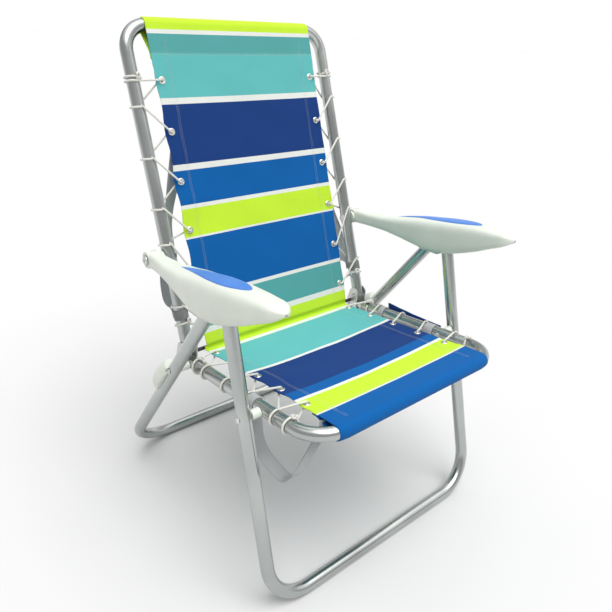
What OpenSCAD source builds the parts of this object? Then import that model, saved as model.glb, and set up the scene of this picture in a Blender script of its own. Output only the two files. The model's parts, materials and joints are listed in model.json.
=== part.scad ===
// Folding beach chair: a laced striped sling on four bent aluminium tube frames, with moulded arms.
// The floor is z = 0, the sitter faces -Y, +X is on the right when the chair is seen from the front.

/* [Tube frames] */
// Outer diameter of every frame tube
tube_d = 25; // [24:0.5:25]
// Wall thickness of the tubes
tube_wall = 1.5; // [1:0.1:2]
// Middle of the chair to the middle of the back and seat tubes
frame_half = 237; // [230:1:237]
// Middle of the chair to the middle of the front and rear leg tubes
leg_half = 279.5; // [279:0.5:282]

/* [Back] */
// Backward lean of the back frame from upright, in degrees
back_tilt = 18.9; // [18:0.1:20]
// Hinge axis to the middle of the top bar
back_length = 612; // [560:1:640]
// Bend radius of the two top corners
back_bend = 48; // [45:1:60]

/* [Seat] */
// Upward slope of the seat towards the front, in degrees
seat_rise = 5.4; // [4:0.1:6]
// Below the back hinge to the middle of the front bar, along the seat rail
seat_length = 392; // [385:1:400]
// Bend radius of the two front corners
seat_bend = 60; // [50:1:65]
// Height of the back hinge above the middle of the seat rail
hinge_rise = 29; // [28:0.5:30]

/* [Legs] */
// Backward lean of the front legs, in degrees
front_tilt = 14.8; // [14:0.1:16]
// Forward lean of the rear legs, in degrees
rear_tilt = 36.6; // [35:0.1:37]
// Bend radius of the front floor corners
front_bend = 80; // [70:1:90]
// Bend radius of the rear floor corners
rear_bend = 125; // [90:1:130]
// Back hinge to the front leg pivot, along the seat rail
front_pivot_s = 257; // [250:1:260]
// Back hinge to the rear leg pivot, along the seat rail
rear_pivot_s = 23; // [21:1:25]

/* [Arms] */
// Back hinge to the arm pivot, along the back tube
arm_pivot_s = 184; // [180:1:190]
// Wall of the moulded arm shell
arm_wall = 3; // [2.5:0.1:4]

/* [Sling] */
// Half width of the striped cloth
cloth_half = 197; // [190:1:200]
// Middle of the chair to the grommets
grommet_x = 183; // [175:1:184]
// Thickness of the cloth
cloth_t = 1.6; // [1.2:0.1:2]
// Diameter of the elastic lacing cord
cord_d = 4; // [3:0.5:4]

/* [Hidden] */
$fn = 48;

r = tube_d / 2;
bore_r = r - tube_wall;
aluminium = "silver";
moulded = "ivory";
steel = "gray";

// Side view points are [y, z]. A tilt leans backward from upright.
hinge = [83.6, 373];
function along(p, tilt, s) = [p[0] + s * sin(tilt), p[1] + s * cos(tilt)];
function on_rail(s, up = 0) =
  [hinge[0] - s * cos(seat_rise) + up * sin(seat_rise),
   hinge[1] - hinge_rise + s * sin(seat_rise) + up * cos(seat_rise)];
function on_back(s, front = 0) =
  [hinge[0] + s * sin(back_tilt) - front * cos(back_tilt),
   hinge[1] + s * cos(back_tilt) + front * sin(back_tilt)];
back_top = along(hinge, back_tilt, back_length);
arm_pivot = along(hinge, back_tilt, arm_pivot_s);
front_pivot = on_rail(front_pivot_s);
rear_pivot = on_rail(rear_pivot_s);
// Back, seat, front legs and arms are the four sides of a parallelogram.
top_pin = along(front_pivot, back_tilt, arm_pivot_s);
front_foot = along(front_pivot, front_tilt, -(front_pivot[1] - r) / cos(front_tilt));
rear_foot = along(rear_pivot, -rear_tilt, -(rear_pivot[1] - r) / cos(rear_tilt));

// Distances along the leg tubes, from the floor bar
front_hinge_s = norm(front_pivot - front_foot);
front_eye_s = front_hinge_s + arm_pivot_s * cos(back_tilt - front_tilt);
front_eye_off = arm_pivot_s * sin(back_tilt - front_tilt);
front_leg_s = front_eye_s - 14;
rear_hinge_s = norm(rear_pivot - rear_foot);
rear_leg_s = rear_hinge_s + 241;
lock_pin_s = 229;
rear_ratio = 0.4485;
pin_r = 3;
bolt_r = 4;
lock_r = 3.5;
fit = 0.05;
gap = 0.3;

// Moves the drawing to a side view point and leans it back
module at(p, tilt) translate([0, p[0], p[1]]) rotate([-tilt, 0, 0]) children();
// Extrudes a side view outline along X
module side(x0, w) translate([x0, 0, 0]) rotate([90, 0, 90]) linear_extrude(w) children();
// A round bar along X at a side view point
module cross(p, x0, w, rad) translate([x0, p[0], p[1]]) rotate([0, 90, 0]) cylinder(r = rad, h = w);
module both() {
  children();
  mirror([1, 0, 0]) children();
}

// A U of round tube: bar along X at z = 0, legs going up
module u_solid(half, bend, leg, rad, extra) {
  translate([bend - half, 0, 0]) rotate([0, 90, 0]) cylinder(r = rad, h = 2 * (half - bend));
  both() {
    translate([half - bend, 0, bend]) rotate([90, 0, 0]) rotate([0, 0, -90])
      rotate_extrude(angle = 90) translate([bend, 0]) circle(r = rad);
    translate([half, 0, bend]) cylinder(r = rad, h = leg - bend + extra);
  }
}
module u_tube(half, bend, leg) difference() {
  u_solid(half, bend, leg, r, 0);
  u_solid(half, bend, leg, bore_r, 1);
}
// A domed plug in a tube end: stem down the bore, cap outside
module end_plug(stem) {
  translate([0, 0, -stem]) cylinder(r = bore_r - fit, h = stem);
  cylinder(r = r, h = 2);
}
// A rivet along +X: head, shank, set head
module rivet(p, x0, x1, rad) {
  cross(p, x0 - 2, 2, rad * 1.8);
  cross(p, x0, x1 - x0, rad);
  cross(p, x1, 2, rad * 1.8);
}

// Seat body
bracket_x0 = frame_half - r - gap - 2.5;
bracket_x1 = frame_half + r + gap + 2.5;
bracket_hole_s = -12;
module seat_frame() color(aluminium) difference() {
  at(on_rail(seat_length), 90 + seat_rise) u_tube(frame_half, seat_bend, seat_length + 20);
  cross(front_pivot, -300, 600, pin_r + fit);
  cross(rear_pivot, -300, 600, pin_r + fit);
  cross(on_rail(bracket_hole_s), -300, 600, 2 + fit);
}
module seat_end_plugs() color(moulded) both() difference() {
  translate([frame_half, 0, 0]) at(on_rail(-20), 90 + seat_rise) end_plug(16);
  cross(on_rail(bracket_hole_s), 200, 80, 2 + fit);
}
module bracket() difference() {
  union() {
    side(bracket_x0, bracket_x1 - bracket_x0)
      polygon([on_rail(-20, -r - 2.5), on_rail(13, -r - 2.5), on_rail(13, 4), hinge + [-13, 0],
        hinge + [13, 0], on_rail(-20, 6)]);
    cross(hinge, bracket_x0, bracket_x1 - bracket_x0, 13);
  }
  side(bracket_x0 + 2.5, bracket_x1 - bracket_x0 - 5)
    polygon([on_rail(-40, -r - gap), on_rail(40, -r - gap), on_rail(40, 60), on_rail(-40, 60)]);
  cross(hinge, 200, 80, pin_r + fit);
  cross(on_rail(bracket_hole_s), 200, 80, 2 + fit);
}
module hinge_bracket_right() color(steel) bracket();
module hinge_bracket_left() color(steel) mirror([1, 0, 0]) bracket();
module bracket_rivets() color(steel) both() rivet(on_rail(bracket_hole_s), bracket_x0, bracket_x1, 2);
module hinge_rivets() color(steel) both() rivet(hinge, bracket_x0, bracket_x1, pin_r);
module rear_cross_rod() color("black") cross(on_rail(-8, 9), -bracket_x0, 2 * bracket_x0, 4);

spacer_x0 = frame_half + r;
spacer_x1 = leg_half - r;
module spacers(p, rad) color(moulded) both() difference() {
  cross(p, spacer_x0 + 0.1, spacer_x1 - spacer_x0 - 0.2, rad);
  cross(p, spacer_x0 - 1, spacer_x1 - spacer_x0 + 2, pin_r + fit);
}
module front_pivot_spacers() spacers(front_pivot, 9);
module rear_pivot_spacers() spacers(rear_pivot, 8);
module pivot_rivets(p) color(steel) both() rivet(p, frame_half - r - 0.2, leg_half + r + 0.2, pin_r);
module front_pivot_rivets() pivot_rivets(front_pivot);
module rear_pivot_rivets() pivot_rivets(rear_pivot);

// Back body
back_end = 6;
module back_frame() color(aluminium) difference() {
  at(back_top, back_tilt + 180) u_tube(frame_half, back_bend, back_length + back_end);
  cross(hinge, -300, 600, pin_r + fit);
  cross(arm_pivot, -300, 600, bolt_r + fit);
}
module back_end_plugs() color(moulded) both() difference() {
  translate([frame_half, 0, 0]) at(on_back(-back_end), back_tilt + 180)
    translate([0, 0, -20]) cylinder(r = bore_r - fit, h = 20);
  cross(hinge, 200, 80, pin_r + fit);
}
arm_x0 = 256;
boss_x1 = 285;
module arm_bolts() color(steel) both() {
  cross(arm_pivot, frame_half - r - 2.3, 2, 8);
  cross(arm_pivot, frame_half - r - 0.3, boss_x1 - frame_half + r + 0.6, bolt_r);
  cross(arm_pivot, boss_x1 + 0.3, 4, 9);
}
module arm_spacers() color(moulded) both() difference() {
  cross(arm_pivot, frame_half + r + 0.1, arm_x0 - frame_half - r - 0.2, 11);
  cross(arm_pivot, 240, 40, bolt_r + fit);
}

// Front leg body
module front_leg_frame() color(aluminium) difference() {
  at(front_foot, front_tilt) u_tube(leg_half, front_bend, front_leg_s);
  cross(front_pivot, -300, 600, pin_r + fit);
}
module front_leg_eyes() color(moulded) both() difference() {
  union() {
    translate([leg_half, 0, 0]) at(along(front_foot, front_tilt, front_leg_s), front_tilt) end_plug(25);
    at(front_foot, front_tilt) side(leg_half - 9, 18) {
      polygon([[-8, front_leg_s + 1], [10, front_leg_s + 1], [front_eye_off + 8, front_eye_s - 4],
        [front_eye_off - 8, front_eye_s + 4]]);
      translate([front_eye_off, front_eye_s]) circle(r = 9);
    }
  }
  cross(top_pin, 200, 100, bolt_r + fit);
}
module front_leg_pins() color(steel) both() cross(top_pin, arm_x0 + 4, 48, bolt_r);

// Rear leg body
module rear_leg_frame() color(aluminium) difference() {
  at(rear_foot, -rear_tilt) u_tube(leg_half, rear_bend, rear_leg_s);
  cross(rear_pivot, -300, 600, pin_r + fit);
  cross(along(rear_pivot, -rear_tilt, lock_pin_s), -300, 600, lock_r + fit);
}
module rear_leg_caps() color(moulded) both() difference() {
  translate([leg_half, 0, 0]) at(along(rear_foot, -rear_tilt, rear_leg_s), -rear_tilt) end_plug(22);
  cross(along(rear_pivot, -rear_tilt, lock_pin_s), 200, 100, lock_r + fit);
}
// A barrel shaped saddle that hugs the leg from behind, below its pivot
saddle_half = 44;
module rear_leg_saddles() color(moulded) both() difference() {
  translate([leg_half + 3, 0, 0]) at(rear_pivot, -rear_tilt) translate([0, 11, -42]) rotate_extrude()
    polygon(concat([[0, -saddle_half]], [for (a = [-90 : 10 : 90])
      [13 + 9 * pow(max(0, cos(a)), 0.7), saddle_half * a / 90]], [[0, saddle_half]]));
  at(rear_pivot, -rear_tilt) {
    translate([leg_half, 0, -150]) cylinder(r = r + fit, h = 200);
    translate([leg_half - 40, -60, -150]) cube([80, 60, 200]);
  }
  cross(rear_pivot, leg_half - 40, 30, 9);
  cross(rear_pivot, leg_half + 5, 40, 6.5);
}
module rear_lock_pins() color(steel) both()
  cross(along(rear_pivot, -rear_tilt, lock_pin_s), leg_half - 19, 38, lock_r);

// Arm shell. Rows are [forward of the pivot, bottom, top, inner x, outer x], heights from the pivot.
arm_rows = [[-40, -15, 17, 256, 283], [0, -16, 17, 256, 284], [45, -13, 17, 256, 289],
  [100, -12, 23, 256, 299], [150, -16, 33, 256, 308], [190, -21, 42, 256, 314], [230, -22, 49, 256, 316],
  [270, -16, 56, 256, 317], [310, -4, 61, 257, 316], [350, 12, 64, 259, 312], [390, 32, 65, 262, 306],
  [420, 46, 65, 264, 302], [447, 52, 64, 266, 300], [470, 56, 62, 268, 298]];
arm_end = 420;
arm_round = 34;
function row_at(u, i = 1) = (u <= arm_rows[i + 1][0] || i + 3 >= len(arm_rows)) ? i : row_at(u, i + 1);
function smooth(a, b, c, d, t) = b + t * (c - a) / 2 + t * t * (a - 2.5 * b + 2 * c - d / 2)
  + t * t * t * (1.5 * b - a / 2 - 1.5 * c + d / 2);
function arm_value(u, k) = let (i = row_at(u), from = arm_rows[i][0],
  t = (u - from) / (arm_rows[i + 1][0] - from))
  smooth(arm_rows[i - 1][k], arm_rows[i][k], arm_rows[i + 1][k], arm_rows[i + 2][k], t);
function tip_scale(u) = u < arm_end - arm_round ? 1
  : sqrt(max(0.0004, 1 - pow((u - arm_end + arm_round) / arm_round, 2)));
function arm_half_w(u) = (arm_value(u, 4) - arm_value(u, 3)) / 2 * tip_scale(u);
function arm_half_h(u) = (arm_value(u, 2) - arm_value(u, 1)) / 2 * tip_scale(u);
function arm_mid_x(u) = (arm_value(u, 4) + arm_value(u, 3)) / 2;
function arm_mid_z(u) = (arm_value(u, 2) + arm_value(u, 1)) / 2;
squareness = 3.4;
function power(v) = sign(v) * pow(abs(v), 2 / squareness);
function arm_top(u, x) = arm_mid_z(u) + arm_half_h(u)
  * pow(1 - pow(min(0.999, abs(x - arm_mid_x(u)) / arm_half_w(u)), squareness), 1 / squareness);
ring_n = 32;
function arm_ring(u, inset) = [for (i = [0 : ring_n - 1]) let (a = 360 * i / ring_n)
  [arm_mid_x(u) + (arm_half_w(u) - inset) * power(cos(a)), arm_pivot[0] - u,
   arm_pivot[1] + arm_mid_z(u) + (arm_half_h(u) - inset) * power(sin(a))]];
// The hollow is a tapered trough open below
function hollow_ring(u) = let (w = arm_half_w(u) - arm_wall, top = arm_mid_z(u) + arm_half_h(u) - arm_wall)
  [for (p = [[1, -70], [1, top - 12], [0.86, top - 4], [0.5, top], [-0.5, top], [-0.86, top - 4],
    [-1, top - 12], [-1, -70]]) [arm_mid_x(u) + w * p[0], arm_pivot[0] - u, arm_pivot[1] + p[1]]];
// A solid through a list of rings with the same number of points
module loft(rings) {
  n = len(rings[0]);
  m = len(rings);
  side_faces = [for (j = [0 : m - 2], i = [0 : n - 1], f = [0, 1]) let (k = (i + 1) % n)
    f == 0 ? [j * n + i, (j + 1) * n + k, j * n + k] : [j * n + i, (j + 1) * n + i, (j + 1) * n + k]];
  // Each end is closed by strips across it
  ends = [for (j = [0, m - 1], i = [0 : n / 2 - 2])
    let (q = [i, i + 1, n - 2 - i, n - 1 - i] + [1, 1, 1, 1] * j * n) j == 0 ? q : [q[3], q[2], q[1], q[0]]];
  polyhedron([for (g = rings, p = g) p], concat(ends, side_faces));
}
function arm_steps(a, b, n) = [for (i = [0 : n]) a + (b - a) * sin(90 * i / n)];
// The same rings for the arm on the other side
function other_side(rings, left) = !left ? rings
  : [for (g = rings) [for (i = [len(g) - 1 : -1 : 0]) [-g[i][0], g[i][1], g[i][2]]]];
module arm_bosses() {
  cross(arm_pivot, arm_x0, boss_x1 - arm_x0, 16.5);
  cross(top_pin, arm_x0 + 1, 9, 10);
  cross(top_pin, leg_half + 10, 25.3, 10);
}
module arm_holes() {
  cross(arm_pivot, 200, 150, bolt_r + fit);
  cross(top_pin, arm_x0 + 3.5, 49, bolt_r + 0.4);
}
module arm_shell(left) color(moulded) difference() {
  union() {
    difference() {
      loft(other_side([for (u = arm_steps(0, arm_end - 0.5, 24)) arm_ring(u, 0)], left));
      loft(other_side([for (u = arm_steps(24, arm_end - 30, 16)) hollow_ring(u)], left));
    }
    mirror([left ? 1 : 0, 0, 0]) arm_bosses();
  }
  mirror([left ? 1 : 0, 0, 0]) arm_holes();
}
module arm_right() arm_shell(false);
module arm_left() arm_shell(true);

// Leaf shaped pad on top of the arm
inlay_from = 126;
inlay_to = 340;
function inlay_u(t) = inlay_from + (inlay_to - inlay_from) * t;
function inlay_half(t) = 17.5 * pow(sin(180 * pow(t, 2)), 0.55) + 0.8;
function inlay_row(u, w, up) = let (c = arm_mid_x(u))
  [for (q = [-1 : 0.5 : 1]) [c + q * w, arm_pivot[0] - u, arm_pivot[1] + arm_top(u, c + q * w) + up]];
function inlay_ring(u, t) = let (w = inlay_half(t)) concat(inlay_row(u, w, 0.3), inlay_row(u, -w, 1.9));
module inlay() loft([for (i = [0 : 28]) let (t = 0.5 - cos(180 * i / 28) / 2) inlay_ring(inlay_u(t), t)]);
module arm_inlay_right() color("cornflowerblue") inlay();
module arm_inlay_left() color("cornflowerblue") mirror([1, 0, 0]) inlay();

// Notched rack in the arm: the lock pin's way past it as the back turns
notch_turns = [0, -5.3, -10.6, -16];
function arm_shift(f) = along(hinge, back_tilt - f, arm_pivot_s) - arm_pivot;
function lane(f) = along(rear_pivot, -rear_tilt - rear_ratio * f, lock_pin_s) - arm_shift(f);
function lane_side(f, off) = let (d = lane(f + 0.5) - lane(f - 0.5), n = norm(d))
  lane(f) + off * [d[1], -d[0]] / n;
lane_half = lock_r + 0.6;
lane_steps = [for (f = [-17.5 : 1.5 : 8]) f];
module rack_plate(x0) side(x0, 3.5) difference() {
  translate(top_pin) union() {
    polygon([[2, -14], [46, -14], [46, 20], [28, 32], [2, 34]]);
    circle(r = 14);
  }
  polygon(concat([for (f = lane_steps) lane_side(f, lane_half)],
    [for (i = [len(lane_steps) - 1 : -1 : 0]) lane_side(lane_steps[i], -lane_half)]));
  for (f = notch_turns) translate(lane(f) - [3, 0]) circle(r = lock_r + 0.5);
  translate(top_pin) circle(r = 10.3);
}
module rack() {
  rack_plate(arm_x0 + 4);
  rack_plate(leg_half + 14.5);
}
module arm_rack_right() color(steel) rack();
module arm_rack_left() color(steel) mirror([1, 0, 0]) rack();

// Cloth. A ribbon is a side view path given a thickness.
function unit(v) = v / norm(v);
function path_normal(path, i) = let (n = len(path), d = unit(path[min(i + 1, n - 1)] - path[max(i - 1, 0)]))
  [-d[1], d[0]];
module ribbon(path, t) polygon(concat([for (i = [0 : len(path) - 1]) path[i] + path_normal(path, i) * t / 2],
  [for (i = [len(path) - 1 : -1 : 0]) path[i] - path_normal(path, i) * t / 2]));
cloth_off = r + gap + cloth_t / 2;
back_cloth_s = sqrt(back_length * back_length - cloth_off * cloth_off);
back_cloth_tilt = back_tilt - asin(cloth_off / back_length);
function back_cloth(s, up = 0) = along(hinge, back_cloth_tilt, s)
  + up * [-cos(back_cloth_tilt), sin(back_cloth_tilt)];
seat_cloth_rear = on_rail(4, 7.5);
seat_front = on_rail(seat_length);
seat_chord = norm(seat_front - seat_cloth_rear);
seat_cloth_s = sqrt(seat_chord * seat_chord - cloth_off * cloth_off);
seat_cloth_rise = atan2(seat_front[1] - seat_cloth_rear[1], seat_cloth_rear[0] - seat_front[0])
  + asin(cloth_off / seat_chord);
function seat_cloth(s, up = 0) = seat_cloth_rear + (s - 4) * [-cos(seat_cloth_rise), sin(seat_cloth_rise)]
  + up * [sin(seat_cloth_rise), cos(seat_cloth_rise)];
// Round a bar from the angle of the cloth to the seam on the other side
function round_bar(c, a0, a1) = [for (i = [0 : 12]) let (a = a0 + (a1 - a0) * i / 12)
  c + cloth_off * [cos(a), sin(a)]];
back_sleeve_half = 188;
seat_sleeve_half = 179;
grommet_hole = 5.2;
back_row = [for (k = [0 : 5]) 34 + 95 * k];
seat_row = [for (k = [0 : 4]) 26 + 70 * k];
module on_back_cloth(x, s) let (p = back_cloth(s)) translate([x, p[0], p[1]])
  rotate([90 - back_cloth_tilt, 0, 0]) children();
module on_seat_cloth(x, s) let (p = seat_cloth(s)) translate([x, p[0], p[1]])
  rotate([-seat_cloth_rise, 0, 0]) children();
module back_sling() color("teal") difference() {
  union() {
    side(-cloth_half, 2 * cloth_half) ribbon([back_cloth(-8), back_cloth(back_cloth_s - 20)], cloth_t);
    side(-back_sleeve_half, 2 * back_sleeve_half) ribbon(concat([back_cloth(back_cloth_s - 22)],
      round_bar(back_top, 180 - back_cloth_tilt, -20 - back_cloth_tilt),
      [back_cloth(562, -0.4), back_cloth(548, -0.4)]), cloth_t);
  }
  both() for (s = back_row) on_back_cloth(grommet_x, s) cylinder(r = grommet_hole, h = 10, center = true);
}
module seat_sling() color("teal") difference() {
  union() {
    side(-cloth_half, 2 * cloth_half) ribbon([seat_cloth(4), seat_cloth(seat_cloth_s - 16)], cloth_t);
    side(-seat_sleeve_half, 2 * seat_sleeve_half) ribbon(concat([seat_cloth(seat_cloth_s - 18)],
      round_bar(seat_front, 90 - seat_cloth_rise, 307 - seat_cloth_rise),
      [seat_cloth(352, -0.4), seat_cloth(340, -0.4)]), cloth_t);
  }
  both() for (s = seat_row) on_seat_cloth(grommet_x + 2, s) cylinder(r = grommet_hole, h = 10, center = true);
}
module grommet() {
  difference() {
    union() {
      cylinder(r = grommet_hole - 0.1, h = cloth_t + 1.2, center = true);
      translate([0, 0, cloth_t / 2 + 0.1]) cylinder(r = 7.5, h = 0.8);
      translate([0, 0, -cloth_t / 2 - 0.9]) cylinder(r = 7.5, h = 0.8);
    }
    cylinder(r = 3.3, h = 10, center = true);
  }
}
module back_grommets() for (s = back_row) on_back_cloth(grommet_x, s) grommet();
module seat_grommets() for (s = seat_row) on_seat_cloth(grommet_x + 2, s) grommet();
module back_grommets_right() color(steel) back_grommets();
module back_grommets_left() color(steel) mirror([1, 0, 0]) back_grommets();
module seat_grommets_right() color(steel) seat_grommets();
module seat_grommets_left() color(steel) mirror([1, 0, 0]) seat_grommets();

// Lacing. Each stop on the way is [x, distance along, height in front of the tube's middle].
wrap_r = cord_d / 2 + r + 1.2;
function wrap(s, ds = 5, a0 = 105, a1 = -105) = [for (i = [0 : 6]) let (a = a0 + (a1 - a0) * i / 6)
  [frame_half + wrap_r * cos(a), s + ds * (i / 6 - 0.5), wrap_r * sin(a)]];
function through(x, s, h) = [[x + 2.5, s, h - 5.4], [x, s, h - 3], [x, s, h + 3], [x + 2.5, s, h + 5.4]];
function back_hole(k) = through(grommet_x, back_row[k], cloth_off * back_row[k] / back_length);
function seat_hole_h(s) = 7.5 + (cloth_off - 7.5) * s / seat_length;
function seat_hole(k) = through(grommet_x + 2, seat_row[k], seat_hole_h(seat_row[k]));
back_wraps = [84, 206, 274, 369, 464];
seat_wraps = [290, 212, 143, 74];
function turn(s, from, n, ds) = [for (i = [0 : n]) [frame_half + wrap_r * cos(from - 40 * i),
  s + ds * i, wrap_r * sin(from - 40 * i)]];
back_route = concat(turn(52, 215, 8, -1.1), back_hole(0),
  [for (k = [0 : 4], p = concat(wrap(back_wraps[k]), back_hole(k + 1))) p], turn(512, 105, 13, 1));
seat_route = concat(turn(329, 215, 8, -1.1), seat_hole(4),
  [for (k = [0 : 3], p = concat(wrap(seat_wraps[k], -5), seat_hole(3 - k))) p], turn(40, 105, 8, 1.1));
function cord_ring(path, i, axis) = let (n = len(path),
  t = unit(path[min(i + 1, n - 1)] - path[max(i - 1, 0)]), b = unit(cross(t, axis)), c = cross(t, b))
  [for (k = [0 : 7]) path[i] + cord_d / 2 * (b * cos(45 * k) + c * sin(45 * k))];
module lacing(path, axis) loft([for (i = [0 : len(path) - 1]) cord_ring(path, i, axis)]);
module back_lacing() lacing([for (q = back_route) let (p = on_back(q[1], q[2])) [q[0], p[0], p[1]]],
  [0, sin(back_tilt), cos(back_tilt)]);
module seat_lacing() lacing([for (q = seat_route) let (p = on_rail(q[1], q[2])) [q[0], p[0], p[1]]],
  [0, -cos(seat_rise), sin(seat_rise)]);
module back_lacing_right() color("white") back_lacing();
module back_lacing_left() color("white") mirror([1, 0, 0]) back_lacing();
module seat_lacing_right() color("white") seat_lacing();
module seat_lacing_left() color("white") mirror([1, 0, 0]) seat_lacing();

// Storage pouch outside the right seat rail
pouch_from = 84;
pouch_to = 240;
pouch_x0 = 255.4;
pouch_x1 = 264.4;
module storage_pouch() color("navy") side(pouch_x0, pouch_x1 - pouch_x0)
  polygon([on_rail(pouch_from, 6), on_rail(pouch_from + 6, -112), on_rail(pouch_from + 16, -122),
    on_rail(pouch_to - 16, -122), on_rail(pouch_to - 6, -112), on_rail(pouch_to, 6)]);
// A webbing ring round the right seat rail
module rail_ring(s, w) translate([frame_half, 0, 0]) at(on_rail(s), seat_rise - 90) difference() {
  cylinder(r = r + 2, h = w);
  translate([0, 0, -1]) cylinder(r = r + gap, h = w + 2);
}
// Each loop's start along the rail and its width
loops = [[84, 14], [219, 23]];
module pouch_loops() color("whitesmoke") for (q = loops) let (s = q[0], e = q[0] + q[1] - 1) {
  rail_ring(s, q[1]);
  side(frame_half + r + 1, pouch_x0 - frame_half - r - 1.3)
    polygon([on_rail(s + 1, -4), on_rail(s + 1, -24), on_rail(e, -24), on_rail(e, -4)]);
}

// A strap through rings of [middle point, width direction, half width, half thickness]
function stop_at(stops, i, t) = let (n = len(stops) - 1) [for (k = [0 : len(stops[0]) - 1])
  smooth(stops[max(i - 1, 0)][k], stops[i][k], stops[i + 1][k], stops[min(i + 2, n)][k], t)];
function smooth_stops(stops, m) = concat(
  [for (i = [0 : len(stops) - 2], j = [0 : m - 1]) stop_at(stops, i, j / m)], [stops[len(stops) - 1]]);
function band_ring(q, i) = let (d = unit(q[min(i + 1, len(q) - 1)][0] - q[max(i - 1, 0)][0]), p = q[i][0],
  w = unit(q[i][1] - (q[i][1] * d) * d) * q[i][2], n = unit(cross(w, d)) * q[i][3])
  [p + w - n, p - w - n, p - w + n, p + w + n];
module strap(q) loft([for (i = [0 : len(q) - 1]) band_ring(q, i)]);

// Carry strap hanging under the left seat rail: stops are [along the rail, above it, x]
carry_stops = [[228, -15.4, 236], [228.5, -40, 236], [230, -66, 236], [237, -86, 235.5], [253, -99, 235],
  [277, -110, 233], [299, -117.5, 231], [313, -113, 228], [326, -97, 222], [337, -72, 216], [347, -46, 208],
  [354, -22, 198], [357, -6, 191], [358, 7, 188]];
module carry_strap() color("lightgray") strap([for (q = smooth_stops(carry_stops, 2))
  let (p = on_rail(q[0], q[1])) [[-q[2], p[0], p[1]], [1, 0, 0], 13, 1]]);
module carry_strap_loops() color("lightgray") mirror([1, 0, 0]) rail_ring(218, 20);

// Padded shoulder straps behind the back, sewn to the cloth at the top, to a ring on the tube below.
// Stops are [along the back, in front of the tube, x, half width, half thickness, twist].
shoulder_stops = [[546, 6.5, 100, 23, 2.4, 0], [528, 5.6, 105, 23, 2.5, 0], [500, -3, 114, 23, 2.5, 0],
  [450, -17, 131, 23, 2.5, 5], [400, -28, 148, 23, 2.5, 12], [350, -36, 165, 23, 2.5, 24],
  [311, -41, 180, 23, 2.5, 36], [270, -44, 195, 22, 2.5, 43], [235, -44, 206, 22, 2.5, 43],
  [199, -43, 213, 22, 2.5, 34], [160, -39, 222, 23, 2.5, 16], [130, -36, 227, 23, 2.5, 4],
  [106, -33, 229, 23, 2.5, 0], [95, -30.5, 231, 21, 2.2, 0], [88, -28, 233.5, 17, 1.8, 0],
  [83, -25, 235.5, 12, 1.3, 0], [78, -20.8, 236.5, 10, 1, 0], [73, -16.6, 237, 10, 1, 0],
  [60, -16, 237, 10, 1, 0]];
module shoulder_strap() strap([for (q = smooth_stops(shoulder_stops, 2)) let (p = on_back(q[0], q[1]))
  [[q[2], p[0], p[1]], [cos(q[5]), -cos(back_tilt) * sin(q[5]), sin(back_tilt) * sin(q[5])], q[3], q[4]]]);
module shoulder_strap_right() color("lightgray") shoulder_strap();
module shoulder_strap_left() color("lightgray") mirror([1, 0, 0]) shoulder_strap();
module shoulder_strap_anchors() color("lightgray") both() difference() {
  translate([frame_half, 0, 0]) at(on_back(56), back_tilt) cylinder(r = r + 2, h = 20);
  translate([frame_half, 0, 0]) at(on_back(55), back_tilt) cylinder(r = r + gap, h = 22);
}

seat_frame();
seat_end_plugs();
hinge_bracket_left();
hinge_bracket_right();
bracket_rivets();
hinge_rivets();
rear_cross_rod();
front_pivot_spacers();
front_pivot_rivets();
rear_pivot_spacers();
rear_pivot_rivets();
back_frame();
back_end_plugs();
arm_bolts();
arm_spacers();
front_leg_frame();
front_leg_eyes();
front_leg_pins();
rear_leg_frame();
rear_leg_caps();
rear_leg_saddles();
rear_lock_pins();
arm_left();
arm_right();
arm_inlay_left();
arm_inlay_right();
arm_rack_left();
arm_rack_right();
back_sling();
seat_sling();
back_grommets_left();
back_grommets_right();
seat_grommets_left();
seat_grommets_right();
back_lacing_left();
back_lacing_right();
seat_lacing_left();
seat_lacing_right();
storage_pouch();
pouch_loops();
carry_strap();
carry_strap_loops();
shoulder_strap_left();
shoulder_strap_right();
shoulder_strap_anchors();
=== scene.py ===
import json
import math
from collections import namedtuple

import bmesh
import bpy
from mathutils import Matrix, Vector


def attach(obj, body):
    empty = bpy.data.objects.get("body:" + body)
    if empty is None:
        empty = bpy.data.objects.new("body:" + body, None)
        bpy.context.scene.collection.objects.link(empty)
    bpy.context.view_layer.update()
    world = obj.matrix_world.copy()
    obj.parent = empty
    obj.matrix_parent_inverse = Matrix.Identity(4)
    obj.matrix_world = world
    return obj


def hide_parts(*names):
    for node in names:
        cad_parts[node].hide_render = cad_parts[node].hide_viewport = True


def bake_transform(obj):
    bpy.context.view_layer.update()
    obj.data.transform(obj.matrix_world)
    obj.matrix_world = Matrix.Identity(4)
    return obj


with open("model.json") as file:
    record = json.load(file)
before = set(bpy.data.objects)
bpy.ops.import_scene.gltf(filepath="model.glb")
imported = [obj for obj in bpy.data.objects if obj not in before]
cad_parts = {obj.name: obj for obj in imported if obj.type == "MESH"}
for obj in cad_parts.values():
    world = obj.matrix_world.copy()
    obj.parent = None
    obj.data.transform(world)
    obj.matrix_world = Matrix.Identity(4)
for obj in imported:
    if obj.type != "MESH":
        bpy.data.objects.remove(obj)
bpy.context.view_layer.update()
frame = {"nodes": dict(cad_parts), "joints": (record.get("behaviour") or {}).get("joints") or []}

# ---------------------------------------------------------------- the frame's own sizes, in metres
joints = {j["name"]: j for j in frame["joints"]}


def side_point(name):
    """A joint's place in side view, as (y, z)."""
    p = joints[name]["pos_m"]
    return Vector((p[1], p[2]))


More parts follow.
